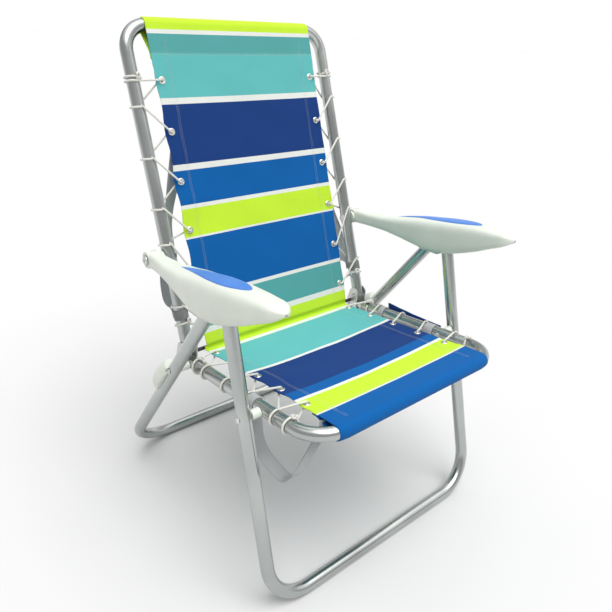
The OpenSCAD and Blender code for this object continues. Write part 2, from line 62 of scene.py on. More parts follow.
HINGE = side_point("back_hinge")
ARM_PIVOT = side_point("arm_pivot_right")
FRONT_PIVOT = side_point("front_leg_pivot")
REAR_PIVOT = side_point("rear_leg_pivot")
BACK_DIR = (ARM_PIVOT - HINGE).normalized()
BACK_FRONT = Vector((-BACK_DIR.y, BACK_DIR.x))
RAIL_DIR = (FRONT_PIVOT - REAR_PIVOT).normalized()
RAIL_UP = Vector((-RAIL_DIR.y, RAIL_DIR.x)) * -1
TUBE_R = 0.0125
FRAME_X = 0.237
RAIL_START = REAR_PIVOT - RAIL_DIR * 0.023
BACK_LENGTH = 0.612
SEAT_LENGTH = 0.392
BACK_BEND = 0.048
SEAT_BEND = 0.060


def on_back(s, front=0.0):
    return HINGE + BACK_DIR * s + BACK_FRONT * front


def on_rail(s, up=0.0):
    return RAIL_START + RAIL_DIR * s + RAIL_UP * up


def at_x(x, p):
    return Vector((x, p.x, p.y))


# ---------------------------------------------------------------- mesh helpers
def new_mesh(name, verts, faces, uvs=None, smooth=True, solid=True):
    mesh = bpy.data.meshes.new(name)
    mesh.from_pydata([tuple(v) for v in verts], [], faces)
    if uvs is not None:
        layer = mesh.uv_layers.new(name="UVMap")
        for loop in mesh.loops:
            layer.data[loop.index].uv = uvs[loop.vertex_index]
    for polygon in mesh.polygons:
        polygon.use_smooth = smooth
    mesh.validate()
    if solid:
        work = bmesh.new()
        work.from_mesh(mesh)
        bmesh.ops.recalc_face_normals(work, faces=work.faces)
        work.to_mesh(mesh)
        work.free()
    mesh.update()
    piece = bpy.data.objects.new(name, mesh)
    bpy.context.scene.collection.objects.link(piece)
    return piece


def join_parts(parts):
    """Several (verts, faces, uvs) as one."""
    verts, faces, uvs = [], [], []
    for part_verts, part_faces, part_uvs in parts:
        start = len(verts)
        verts += list(part_verts)
        uvs += list(part_uvs)
        faces += [tuple(i + start for i in f) for f in part_faces]
    return verts, faces, uvs


def flip_x(part):
    verts, faces, uvs = part
    return [Vector((-v[0], v[1], v[2])) for v in verts], [tuple(reversed(f)) for f in faces], uvs


def loft(rings, caps=True, u_scale=1.0):
    """A tube through rings of the same length. v runs along it in metres, u round it."""
    n = len(rings[0])
    verts = [p for ring in rings for p in ring]
    along = [0.0]
    for a, b in zip(rings, rings[1:]):
        along.append(along[-1] + (sum(b, Vector()) / n - sum(a, Vector()) / n).length)
    uvs = [(u_scale * i / n, along[j]) for j in range(len(rings)) for i in range(n)]
    faces = []
    for j in range(len(rings) - 1):
        for i in range(n):
            k = (i + 1) % n
            faces.append((j * n + i, j * n + k, (j + 1) * n + k, (j + 1) * n + i))
    if caps:
        faces.append(tuple(range(n - 1, -1, -1)))
        faces.append(tuple((len(rings) - 1) * n + i for i in range(n)))
    return verts, faces, uvs


def smooth_path(points, steps):
    """Catmull-Rom points through a list of 3D points."""
    pts = [points[0] * 2 - points[1]] + list(points) + [points[-1] * 2 - points[-2]]
    out = []
    for i in range(1, len(pts) - 2):
        a, b, c, d = pts[i - 1:i + 3]
        for k in range(steps):
            t = k / steps
            out.append(0.5 * ((2 * b) + (c - a) * t + (2 * a - 5 * b + 4 * c - d) * t * t
                              + (3 * b - a - 3 * c + d) * t * t * t))
    out.append(points[-1].copy())
    return out


def sweep(path, radius, axis, sides):
    """A round cord along a path that never runs along axis."""
    rings = []
    for i, p in enumerate(path):
        t = (path[min(i + 1, len(path) - 1)] - path[max(i - 1, 0)]).normalized()
        b = t.cross(axis).normalized()
        c = t.cross(b)
        rings.append([p + (b * math.cos(a) + c * math.sin(a)) * radius
                      for a in (2 * math.pi * k / sides for k in range(sides))])
    return loft(rings)


def band(stops, cross_steps=12, edge=0.3):
    """A strap through (point, width direction, half width, half thickness), thinner at its rounded edges."""
    rings = []
    for i, (p, wide, half, thick) in enumerate(stops):
        t = (stops[min(i + 1, len(stops) - 1)][0] - stops[max(i - 1, 0)][0]).normalized()
        w = (wide - t * wide.dot(t)).normalized()
        n = w.cross(t)
        ring = []
        for side, order in ((1, range(cross_steps + 1)), (-1, range(cross_steps, -1, -1))):
            for k in order:
                q = -1 + 2 * k / cross_steps
                height = thick * (edge + (1 - edge) * (1 - q ** 4) ** 0.5)
                ring.append(p + w * half * q + n * height * side)
        rings.append(ring)
    return loft(rings)


def place_pair(name, parts, material, bodies, nodes):
    """The right piece and its mirror image on the left, each in place of its node."""
    pieces = []
    for left in (False, True):
        side_name = "left" if left else "right"
        piece = new_mesh(f"{name}_{side_name}", *join_parts([flip_x(p) for p in parts] if left else parts))
        piece.data.materials.append(material)
        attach(piece, bodies[left])
        if nodes:
            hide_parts(f"{nodes}_{side_name}")
        pieces.append(piece)
    return pieces


def place_both(name, part, material, body):
    """A part and its mirror image as one piece, in place of a node."""
    piece = new_mesh("visual_" + name, *join_parts([part, flip_x(part)]))
    piece.data.materials.append(material)
    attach(piece, body)
    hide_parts(name)


# ---------------------------------------------------------------- materials
def new_material(name, colour, roughness, metallic=0.0, sheen=0.0, coat=0.0, specular=0.5):
    material = bpy.data.materials.new(name)
    material.use_nodes = True
    nodes = material.node_tree.nodes
    shader = nodes["Principled BSDF"]
    shader.inputs["Base Color"].default_value = (*colour, 1)
    shader.inputs["Roughness"].default_value = roughness
    shader.inputs["Metallic"].default_value = metallic
    shader.inputs["Sheen Weight"].default_value = sheen
    shader.inputs["Coat Weight"].default_value = coat
    shader.inputs["Specular IOR Level"].default_value = specular
    return material, material.node_tree, shader


def add_node(tree, kind, **values):
    node = tree.nodes.new(kind)
    for key, value in values.items():
        if key in node.inputs:
            node.inputs[key].default_value = value
        else:
            setattr(node, key, value)
    return node


def coordinates(tree, output="Object", scale=(1, 1, 1)):
    place = add_node(tree, "ShaderNodeTexCoord")
    mapping = add_node(tree, "ShaderNodeMapping")
    mapping.inputs["Scale"].default_value = scale
    tree.links.new(place.outputs[output], mapping.inputs["Vector"])
    return mapping.outputs["Vector"]


def vary_colour(tree, shader, source, factor, dark, light):
    """Colour moves between two tones with a noise."""
    ramp = add_node(tree, "ShaderNodeValToRGB")
    ramp.color_ramp.elements[0].color = (*dark, 1)
    ramp.color_ramp.elements[1].color = (*light, 1)
    ramp.color_ramp.elements[0].position = 0.5 - factor
    ramp.color_ramp.elements[1].position = 0.5 + factor
    tree.links.new(source, ramp.inputs["Fac"])
    tree.links.new(ramp.outputs["Color"], shader.inputs["Base Color"])
    return ramp


def vary_roughness(tree, shader, source, low, high):
    spread = add_node(tree, "ShaderNodeMapRange")
    spread.inputs["To Min"].default_value = low
    spread.inputs["To Max"].default_value = high
    tree.links.new(source, spread.inputs["Value"])
    tree.links.new(spread.outputs["Result"], shader.inputs["Roughness"])


def add_bump(tree, shader, source, distance, strength=1.0):
    bump = add_node(tree, "ShaderNodeBump")
    bump.inputs["Distance"].default_value = distance
    bump.inputs["Strength"].default_value = strength
    tree.links.new(source, bump.inputs["Height"])
    tree.links.new(bump.outputs["Normal"], shader.inputs["Normal"])


def weave_height(tree, vector, thread):
    """Plain weave: two crossed sets of threads, each this wide in metres."""
    across = add_node(tree, "ShaderNodeTexWave", bands_direction="X", Scale=math.pi / (10 * thread) / 2)
    down = add_node(tree, "ShaderNodeTexWave", bands_direction="Y", Scale=math.pi / (10 * thread) / 2)
    both = add_node(tree, "ShaderNodeMath", operation="MULTIPLY")
    tree.links.new(vector, across.inputs["Vector"])
    tree.links.new(vector, down.inputs["Vector"])
    tree.links.new(across.outputs["Fac"], both.inputs[0])
    tree.links.new(down.outputs["Fac"], both.inputs[1])
    return both.outputs["Value"]


def tint_by(tree, colour, source, amount):
    """Multiplies a colour by 1 - amount .. 1 with a source."""
    spread = add_node(tree, "ShaderNodeMapRange")
    spread.inputs["To Min"].default_value = 1 - amount
    spread.inputs["To Max"].default_value = 1.0
    mix = add_node(tree, "ShaderNodeMix", data_type="RGBA", blend_type="MULTIPLY")
    mix.inputs["Factor"].default_value = 1.0
    tree.links.new(source, spread.inputs["Value"])
    tree.links.new(colour, mix.inputs["A"])
    tree.links.new(spread.outputs["Result"], mix.inputs["B"])
    return mix.outputs["Result"]


def metal(name, dark, light, roughness, grain=(900, 40, 40), bump=0.00002, coat=0.0):
    """Drawn metal: fine grain along one direction, with a few soft smudges."""
    material, tree, shader = new_material(name, light, roughness, metallic=1.0, coat=coat)
    fine = add_node(tree, "ShaderNodeTexNoise", Scale=1.0, Detail=4.0, Roughness=0.6)
    tree.links.new(coordinates(tree, "Object", grain), fine.inputs["Vector"])
    smudge = add_node(tree, "ShaderNodeTexNoise", Scale=7.0, Detail=3.0, Roughness=0.5)
    tree.links.new(coordinates(tree), smudge.inputs["Vector"])
    vary_colour(tree, shader, smudge.outputs["Fac"], 0.25, dark, light)
    vary_roughness(tree, shader, smudge.outputs["Fac"], roughness * 0.88, roughness * 1.15)
    add_bump(tree, shader, fine.outputs["Fac"], bump)
    return material


def plastic(name, dark, light, roughness, grain=2600.0, bump=0.00006, coat=0.0):
    """Moulded plastic with a fine spark-eroded grain and slight clouding."""
    material, tree, shader = new_material(name, light, roughness, coat=coat, specular=0.45)
    cloud = add_node(tree, "ShaderNodeTexNoise", Scale=14.0, Detail=4.0)
    pits = add_node(tree, "ShaderNodeTexNoise", Scale=grain, Detail=2.0)
    tree.links.new(coordinates(tree), cloud.inputs["Vector"])
    tree.links.new(coordinates(tree), pits.inputs["Vector"])
    vary_colour(tree, shader, cloud.outputs["Fac"], 0.3, dark, light)
    vary_roughness(tree, shader, cloud.outputs["Fac"], roughness * 0.85, roughness * 1.2)
    add_bump(tree, shader, pits.outputs["Fac"], bump, 0.6)
    return material


def webbing(name, colour, thread=0.0011, output="UV"):
    """Flat woven webbing: crossing ribs, with slight variation."""
    material, tree, shader = new_material(name, colour, 0.72, sheen=0.25, specular=0.3)
    vector = coordinates(tree, output)
    ribs = weave_height(tree, vector, thread)
    noise = add_node(tree, "ShaderNodeTexNoise", Scale=180.0, Detail=3.0)
    tree.links.new(vector, noise.inputs["Vector"])
    ramp = vary_colour(tree, shader, ribs, 0.5, [c * 0.66 for c in colour], colour)
    tinted = tint_by(tree, ramp.outputs["Color"], noise.outputs["Fac"], 0.25)
    tree.links.new(tinted, shader.inputs["Base Color"])
    add_bump(tree, shader, ribs, 0.0004)
    return material


def braid(name, colour, fleck):
    """Braided elastic cord: crossing strands round it, with a few flecks."""
    material, tree, shader = new_material(name, colour, 0.78, sheen=0.2, specular=0.25)
    vector = coordinates(tree, "UV", (4.0, 700.0, 1.0))
    waves = []
    for turn in (0.9, -0.9):
        place = add_node(tree, "ShaderNodeMapping")
        place.inputs["Rotation"].default_value = (0, 0, turn)
        wave = add_node(tree, "ShaderNodeTexWave", bands_direction="X", Scale=0.55)
        tree.links.new(vector, place.inputs["Vector"])
        tree.links.new(place.outputs["Vector"], wave.inputs["Vector"])
        waves.append(wave)
    height = add_node(tree, "ShaderNodeMath", operation="MAXIMUM")
    tree.links.new(waves[0].outputs["Fac"], height.inputs[0])
    tree.links.new(waves[1].outputs["Fac"], height.inputs[1])
    ramp = vary_colour(tree, shader, height.outputs["Value"], 0.4, fleck, colour)
    ramp.color_ramp.elements[0].position = 0.0
    add_bump(tree, shader, height.outputs["Value"], 0.0003)
    return material


# Stripes across the cloth, and on the back part a band of painted shade just above its top sleeve's seam: where
# each ends, in metres from the hinge, and its colour
LIME = (0.64, 0.96, 0.045)
WHITE = (0.90, 0.92, 0.87)
TEAL = (0.14, 0.56, 0.55)
# A darker teal: the colour of the back's lower teal stripe, and also painted shade for the band just above the
# top sleeve's seam
DEEP_TEAL_AND_SLEEVE_SHADE = (0.105, 0.42, 0.415)
NAVY = (0.008, 0.050, 0.225)
BLUE = (0.0005, 0.125, 0.43)
BACK_V = 0.020  # where the back hinge lies on the cloth, past the crease
SEAT_STRIPES = [(0.010, LIME), (0.021, WHITE), (0.138, TEAL), (0.148, WHITE), (0.256, NAVY),
                (0.284, BLUE), (0.291, WHITE), (0.340, LIME), (0.346, WHITE), (0.600, BLUE)]
BACK_STRIPES = [(0.015, LIME), (0.024, WHITE), (0.084, DEEP_TEAL_AND_SLEEVE_SHADE), (0.090, WHITE), (0.203, BLUE),
                (0.210, WHITE), (0.263, LIME), (0.270, WHITE), (0.337, BLUE), (0.349, WHITE),
                # 0.556 to 0.591: painted shade just above the top sleeve's seam, in the darker teal
                (0.464, NAVY), (0.474, WHITE), (0.556, TEAL), (0.591, DEEP_TEAL_AND_SLEEVE_SHADE), (0.598, WHITE),
                (0.900, LIME)]


def cloth_material(name, stripes, v_start=0.0):
    """Woven cloth whose stripes follow v, the distance along it."""
    material, tree, shader = new_material(name, TEAL, 0.80, sheen=0.04, specular=0.12)
    vector = coordinates(tree, "UV")
    split = add_node(tree, "ShaderNodeSeparateXYZ")
    tree.links.new(vector, split.inputs["Vector"])
    ramp = add_node(tree, "ShaderNodeValToRGB")
    ramp.color_ramp.interpolation = "CONSTANT"
    marks = [(0.0, stripes[0][1])] + [(a[0] + v_start, b[1]) for a, b in zip(stripes, stripes[1:])]
    elements = ramp.color_ramp.elements
    for i, (start, colour) in enumerate(marks):
        element = elements[i] if i < 2 else elements.new(start)
        element.position = start
        element.color = (*colour, 1)
    tree.links.new(split.outputs["Y"], ramp.inputs["Fac"])
    threads = weave_height(tree, vector, 0.00085)
    slubs = add_node(tree, "ShaderNodeTexNoise", Scale=1.0, Detail=3.0, Roughness=0.6)
    tree.links.new(coordinates(tree, "UV", (260, 2600, 1)), slubs.inputs["Vector"])
    wear = add_node(tree, "ShaderNodeTexNoise", Scale=11.0, Detail=6.0, Roughness=0.6)
    tree.links.new(vector, wear.inputs["Vector"])
    colour = tint_by(tree, ramp.outputs["Color"], threads, 0.18)
    colour = tint_by(tree, colour, slubs.outputs["Fac"], 0.22)
    colour = tint_by(tree, colour, wear.outputs["Fac"], 0.12)
    tree.links.new(colour, shader.inputs["Base Color"])
    height = add_node(tree, "ShaderNodeMath", operation="ADD")
    tree.links.new(threads, height.inputs[0])
    tree.links.new(slubs.outputs["Fac"], height.inputs[1])
    add_bump(tree, shader, height.outputs["Value"], 0.00022, 0.8)
    return material


ALUMINIUM = metal("drawn_aluminium", (0.38, 0.40, 0.39), (0.53, 0.555, 0.54), 0.24)
STEEL = metal("plated_steel", (0.52, 0.53, 0.52), (0.76, 0.77, 0.75), 0.42, grain=(300, 300, 300))
NICKEL = metal("nickel", (0.62, 0.60, 0.55), (0.86, 0.84, 0.79), 0.18, grain=(200, 200, 200))
BLACK = plastic("black_enamel", (0.008, 0.008, 0.009), (0.022, 0.022, 0.024), 0.34, coat=0.3)
CREAM = plastic("cream_moulding", (0.60, 0.635, 0.565), (0.69, 0.725, 0.655), 0.42, coat=0.1)
INLAY_BLUE = plastic("blue_inlay", (0.045, 0.16, 0.50), (0.085, 0.225, 0.60), 0.46, grain=1400.0,
                     bump=0.00012)
PALE_WEBBING = webbing("pale_webbing", (0.60, 0.615, 0.625))
LOOP_WEBBING = webbing("loop_webbing", (0.60, 0.615, 0.625), output="Object")
GREY_WEBBING = webbing("grey_webbing", (0.68, 0.73, 0.74), thread=0.0009)
# Painted shade: the anchor webbing takes the dark tone of the back tube in shadow, so the bands hide against
# the tube
ANCHOR_SHADE_WEBBING = webbing("anchor_shade_webbing", (0.27, 0.285, 0.28))
WHITE_BRAID = braid("white_braid", (0.80, 0.79, 0.73), (0.50, 0.50, 0.47))
THREAD = webbing("sewing_thread", (0.80, 0.80, 0.76), thread=0.0003)
BACK_CLOTH = cloth_material("back_stripes", BACK_STRIPES, BACK_V)
SEAT_CLOTH = cloth_material("seat_stripes", SEAT_STRIPES)

NODE_MATERIALS = {
    "seat_frame": ALUMINIUM,
    "back_frame": ALUMINIUM,
    "front_leg_frame": ALUMINIUM,
    "rear_leg_frame": ALUMINIUM,
    "seat_end_plugs": CREAM,
    "back_end_plugs": CREAM,
    "front_pivot_spacers": CREAM,
    "rear_pivot_spacers": CREAM,
    "arm_spacers": CREAM,
    "front_leg_eyes": CREAM,
    "rear_leg_caps": CREAM,
    "rear_leg_saddles": CREAM,
    "rear_cross_rod": BLACK,
    "carry_strap_loops": LOOP_WEBBING,
    "hinge_bracket_left": STEEL,
    "hinge_bracket_right": STEEL,
    "arm_rack_left": STEEL,
    "arm_rack_right": STEEL,
}
for node_name, node in frame["nodes"].items():
    finish = NODE_MATERIALS.get(node_name, STEEL)
    node.data.materials.clear()
    node.data.materials.append(finish)

# ---------------------------------------------------------------- camera, light, floor
scene = bpy.context.scene
AZIMUTH, ELEVATION, ROLL = map(math.radians, (-41.0, 24.2, 2.74))
CAMERA_PLACE = (-0.760, -0.8554, 0.971)
back_axis = Vector((math.sin(AZIMUTH) * math.cos(ELEVATION), -math.cos(AZIMUTH) * math.cos(ELEVATION),
                    math.sin(ELEVATION)))
level = Vector((math.cos(AZIMUTH), math.sin(AZIMUTH), 0))
upright = back_axis.cross(level)
right = level * math.cos(ROLL) + upright * math.sin(ROLL)
up = upright * math.cos(ROLL) - level * math.sin(ROLL)
camera = bpy.data.objects.new("camera", bpy.data.cameras.new("camera"))
camera_turn = Matrix((right, up, back_axis)).transposed().to_4x4()
camera.matrix_world = Matrix.Translation(CAMERA_PLACE) @ camera_turn
camera.data.lens = 35.7
camera.data.sensor_width = 36
camera.data.shift_x = 0.0070
camera.data.shift_y = -0.0191
camera.data.clip_start = 0.02
scene.collection.objects.link(camera)
scene.camera = camera

FLOOR = 30.0
FLOOR_GREY = (0.60, 0.60, 0.60)
FLOOR_DARK = (0.59, 0.59, 0.59)
FLOOR_LIGHT = (0.61, 0.61, 0.61)
floor_material, floor_tree, floor_shader = new_material("pale_floor", FLOOR_GREY, 0.9, specular=0.0)
floor_mottle = add_node(floor_tree, "ShaderNodeTexNoise", Scale=3.0)
floor_tree.links.new(coordinates(floor_tree), floor_mottle.inputs["Vector"])
vary_colour(floor_tree, floor_shader, floor_mottle.outputs["Fac"], 0.5, FLOOR_DARK, FLOOR_LIGHT)
floor_corners = [(-FLOOR, -FLOOR, 0), (FLOOR, -FLOOR, 0), (FLOOR, FLOOR, 0), (-FLOOR, FLOOR, 0)]
floor = new_mesh("floor", floor_corners, [(0, 1, 2, 3)], smooth=False, solid=False)
floor.data.materials.append(floor_material)

# The room is white at eye level past the object, dim on the near side, grey higher up, and bright overhead
HORIZON = 1.0
NEAR_WALL = 0.45
CEILING_EDGE = 0.52
OVERHEAD = 1.3
PAST_OBJECT = (0.656, 0.755, 0.0)
world = bpy.data.worlds.new("studio")
world.use_nodes = True
sky = world.node_tree
way = add_node(sky, "ShaderNodeTexCoord")
ahead = add_node(sky, "ShaderNodeVectorMath", operation="DOT_PRODUCT")
ahead.inputs[1].default_value = PAST_OBJECT
height = add_node(sky, "ShaderNodeSeparateXYZ")
sky.links.new(way.outputs["Generated"], ahead.inputs[0])
sky.links.new(way.outputs["Generated"], height.inputs["Vector"])


def room_range(source, low, high, first, last):
    spread = add_node(sky, "ShaderNodeMapRange", interpolation_type="SMOOTHSTEP")
    for socket, value in (("From Min", low), ("From Max", high), ("To Min", first), ("To Max", last)):
        spread.inputs[socket].default_value = value
    sky.links.new(source, spread.inputs["Value"])
    return spread.outputs["Result"]


def room_math(operation, first, second):
    node = add_node(sky, "ShaderNodeMath", operation=operation)
    sky.links.new(first, node.inputs[0])
    sky.links.new(second, node.inputs[1])
    return node.outputs["Value"]


wall = room_range(ahead.outputs["Value"], -0.6, 0.9, NEAR_WALL, HORIZON)
wall = room_math("MULTIPLY", wall, room_range(height.outputs["Z"], 0.10, 0.40, 1.0, 0.0))
ceiling = room_math("MAXIMUM", room_range(height.outputs["Z"], 0.10, 0.40, 0.0, CEILING_EDGE),
                    room_range(height.outputs["Z"], 0.45, 0.85, 0.0, OVERHEAD))
sky.links.new(room_math("ADD", wall, ceiling), sky.nodes["Background"].inputs["Color"])
scene.world = world
scene.view_settings.view_transform = "Standard"


def sun(name, place, spread_angle, strength):
    lamp = bpy.data.objects.new(name, bpy.data.lights.new(name, "SUN"))
    lamp.data.angle = math.radians(spread_angle)
    lamp.data.energy = strength
    lamp.rotation_mode = "QUATERNION"
    lamp.rotation_quaternion = (-Vector(place)).to_track_quat("-Z", "Y")
    scene.collection.objects.link(lamp)


sun("key", (-0.1, -0.9, 2.2), 50, 2.2)
sun("fill", (1.4, -1.0, 2.0), 60, 0.5)

# ---------------------------------------------------------------- cloth
# One sheet in two parts, a seat part and a back part, joined at the hinge
CLOTH_HALF = 0.197
CLOTH_OFF = 0.0138
CLOTH_RISE = 0.0136  # how far the flat cloth stands off each cross bar's centre
HEM = 0.036
back_slope = math.asin(CLOTH_RISE / BACK_LENGTH)
BACK_CLOTH_DIR = Vector((BACK_DIR.x * math.cos(back_slope) + BACK_FRONT.x * math.sin(back_slope),
                         BACK_DIR.y * math.cos(back_slope) + BACK_FRONT.y * math.sin(back_slope)))
BACK_CLOTH_FRONT = Vector((-BACK_CLOTH_DIR.y, BACK_CLOTH_DIR.x))
seat_rear = on_rail(0.004, 0.0075)
seat_chord = on_rail(SEAT_LENGTH) - seat_rear
seat_turn = math.asin(CLOTH_RISE / seat_chord.length)
seat_angle = math.atan2(seat_chord.y, -seat_chord.x) + seat_turn
SEAT_CLOTH_DIR = Vector((-math.cos(seat_angle), math.sin(seat_angle)))
SEAT_CLOTH_UP = Vector((math.sin(seat_angle), math.cos(seat_angle)))


def back_cloth(s, front=0.0):
    return HINGE + BACK_CLOTH_DIR * s + BACK_CLOTH_FRONT * front


def seat_cloth(s, lift=0.0):
    return seat_rear + SEAT_CLOTH_DIR * (s - 0.004) + SEAT_CLOTH_UP * lift


# A part of the cloth, in side view. Its sleeve starts to turn round the bar at end, flap lists (s, lift) of the
# sleeve's lower layer, and past edge_end the side edges run straight into the sleeve.
ClothPart = namedtuple("ClothPart", ["body", "place", "along", "front", "v_start", "length", "end", "bar",
                                     "bend", "flap", "sag", "holes", "hole_x", "edge_end"])
BACK_PART = ClothPart(
    body="back",
    place=back_cloth,
    along=BACK_CLOTH_DIR,
    front=BACK_CLOTH_FRONT,
    v_start=BACK_V,
    length=BACK_LENGTH,
    end=math.sqrt(BACK_LENGTH ** 2 - CLOTH_RISE ** 2),
    bar=on_back(BACK_LENGTH),
    bend=BACK_BEND,
    flap=[(0.600, -0.0250), (0.590, -0.0195), (0.575, -0.0112), (0.563, -0.0050), (0.556, -0.0036),
          (0.548, -0.0034)],
    sag=0.006,
    holes=[0.034 + 0.095 * k for k in range(6)],
    hole_x=0.183,
    edge_end=0.53,
)
SEAT_PART = ClothPart(
    body="seat",
    place=seat_cloth,
    along=SEAT_CLOTH_DIR,
    front=SEAT_CLOTH_UP,
    v_start=0.0,
    length=SEAT_LENGTH,
    end=0.004 + math.sqrt(seat_chord.length ** 2 - CLOTH_RISE ** 2),
    bar=on_rail(SEAT_LENGTH),
    bend=SEAT_BEND,
    flap=[(0.382, -0.0255), (0.372, -0.0195), (0.358, -0.0105), (0.348, -0.0050), (0.342, -0.0036),
          (0.334, -0.0034)],
    sag=0.007,
    holes=[0.026 + 0.070 * k for k in range(5)],
    hole_x=0.185,
    edge_end=0.33,
)


def bar_drop(x, bend):
    """How far the cross bar has turned down into its corner at x."""
    over = max(0.0, abs(x) - (FRAME_X - bend))
    return bend - math.sqrt(bend * bend - over * over)


def pull(s, holes):
    """0 at a grommet, 1 midway between two."""
    near = min(abs(s - h) for h in holes)
    gap = holes[1] - holes[0]
    return 0.5 - 0.5 * math.cos(2 * math.pi * min(near / gap, 0.5))


def cloth_lift(part, x, s):
    """The cloth's small shape: a slack middle, ripples from the grommets and soft creases across."""
    edge = abs(x) / CLOTH_HALF
    mid = max(0.0, math.sin(math.pi * max(0.0, min(1.0, s / part.length))))
    sag = -part.sag * (1 - edge ** 2) * mid
    ripple = 0.0016 * edge ** 5 * (pull(s, part.holes) - 0.5) * mid
    crease = 0.0009 * math.sin(s * 61 + 1.7 * math.sin(x * 19)) * math.sin(x * 23 + s * 9) * mid
    return sag + ripple + crease


def edge_in(part, x, s):
    """The side edges curve in between grommets."""
    if s < -0.01 or s > part.edge_end:
        return 0.0
    near_edge = max(0.0, (abs(x) / CLOTH_HALF - 0.55) / 0.45)
    return -math.copysign(0.0026, x) * pull(s, part.holes) * near_edge ** 2


def on_cloth(part, x, s):
    """The cloth's middle layer at x and s, with its slack and its drawn-in edges."""
    q = part.place(s, cloth_lift(part, x, s))
    return Vector((x + edge_in(part, x, s), q.x, q.y))


def columns(half):
    """Across the cloth: even steps, and closer ones at the hems."""
    inner = half - HEM
    xs = [-half, -half + 0.0008, -half + 0.004, -half + HEM / 2, -inner - 0.0009, -inner + 0.0009]
    even = [-inner + 0.006 + (2 * inner - 0.012) * i / 44 for i in range(45)]
    return xs + even + [-x for x in reversed(xs)]


def cloth_sheet(rows, half, thickness):
    """A closed sheet from rows of (part, v, point at x, normal at x); the side hems are doubled."""
    xs = columns(half)
    count = len(xs)
    top, under, uvs = [], [], []
    for part, v, place, normal in rows:
        for x in xs:
            p = place(x)
            n = normal(x)
            hem = 0.0009 if abs(x) > half - HEM else 0.0
            thin = 0.4 if abs(x) > half - 0.0004 else 1.0
            top.append(p + n * thickness / 2 * thin)
            under.append(p - n * (thickness / 2 * thin + hem * thin))
            uvs.append((x, v))
    base = len(top)
    faces = []
    for j in range(len(rows) - 1):
        for i in range(count - 1):
            a, b = j * count + i, (j + 1) * count + i
            faces.append((a, a + 1, b + 1, b))
            faces.append((base + a, base + b, base + b + 1, base + a + 1))
        a, b = j * count, (j + 1) * count
        faces.append((a, b, base + b, base + a))
        a, b = j * count + count - 1, (j + 1) * count + count - 1
        faces.append((a, base + a, base + b, b))
    for i in range(count - 1):
        a = (len(rows) - 1) * count + i
        faces.append((i, base + i, base + i + 1, i + 1))
        faces.append((a, a + 1, base + a + 1, base + a))
    parts = [row[0] for row in rows for x in xs] * 2
    return top + under, faces, uvs + uvs, parts


def spread(start, stop, step):
    n = max(1, round(abs(stop - start) / step))
    return [start + (stop - start) * i / n for i in range(n + 1)]


def flat_row(part, v, s):
    """A row of the part that spans the frame."""
    return part.body, v, lambda x: on_cloth(part, x, s), lambda x: at_x(0, part.front)


def bar_row(part, v, angle):
    """A row of a sleeve: at angle 0 it leaves the flat cloth, and it turns round the bar with the angle."""
    out = part.front * math.cos(angle) + part.along * math.sin(angle)

    def place(x):
        q = part.bar + out * CLOTH_OFF - part.along * bar_drop(x, part.bend)
        return Vector((x, q.x, q.y))
    return part.body, v, place, lambda x: at_x(0, out)


def flap_row(part, v, s, lift):
    """A row of the sleeve's lower layer, which follows the cloth above it."""
    def place(x):
        q = part.place(s, lift + cloth_lift(part, x, s))
        return Vector((x, q.x, q.y))
    return part.body, v, place, lambda x: at_x(0, -part.front)


def seam_row(body, v, point, normal):
    return body, v, lambda x: at_x(x, point), lambda x: at_x(0, normal)


ROW_STEP = 0.006
SLEEVE_TURN = math.pi * 1.06  # how far a sleeve turns round its bar before it lies back along the cloth


def part_rows(part, first):
    """From the hinge along the frame, round the far bar and back to the sleeve's seam."""
    rows = [flat_row(part, s + part.v_start, s) for s in spread(first, part.end - 0.004, ROW_STEP)]
    for angle in spread(0, SLEEVE_TURN, math.pi / 18):
        rows.append(bar_row(part, part.end + part.v_start + CLOTH_OFF * angle, angle))
    v = rows[-1][1]
    for s, lift in part.flap:
        rows.append(flap_row(part, v + part.length - s, s, lift))
    return rows


def crease_rows():
    """The tuck where the seat part turns up into the back part."""
    corners = [seat_cloth(0.004), on_rail(0.0020, 0.0090), on_rail(0.0012, 0.0125), on_rail(0.0016, 0.0165),
               back_cloth(-0.010)]
    hook = smooth_path([at_x(0, p) for p in corners], 2)[1:-1]
    rows = []
    for i, p in enumerate(hook):
        blend = (i + 1) / (len(hook) + 1)
        normal = (SEAT_CLOTH_UP * (1 - blend) + BACK_CLOTH_FRONT * blend).normalized()
        rows.append(seam_row("back", 0.0045 + 0.0006 * i, Vector((p.y, p.z)), normal))
    return rows


CLOTH_T = 0.0014
seat_rows = part_rows(SEAT_PART, 0.004)[::-1]
back_rows = part_rows(BACK_PART, -0.010)
verts, faces, uvs, parts = cloth_sheet(seat_rows + crease_rows() + back_rows, CLOTH_HALF, CLOTH_T)
sling = new_mesh("striped_sling", verts, faces, uvs)
sling.data.materials.append(SEAT_CLOTH)
sling.data.materials.append(BACK_CLOTH)
for polygon in sling.data.polygons:
    polygon.material_index = 0 if all(parts[i] == "seat" for i in polygon.vertices) else 1
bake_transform(sling)
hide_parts("seat_sling", "back_sling")


# ---------------------------------------------------------------- sewing: lines of stitches on the cloth
SEAM_LIFT = CLOTH_T / 2 + 0.0001
SEAM_HALF = 0.194


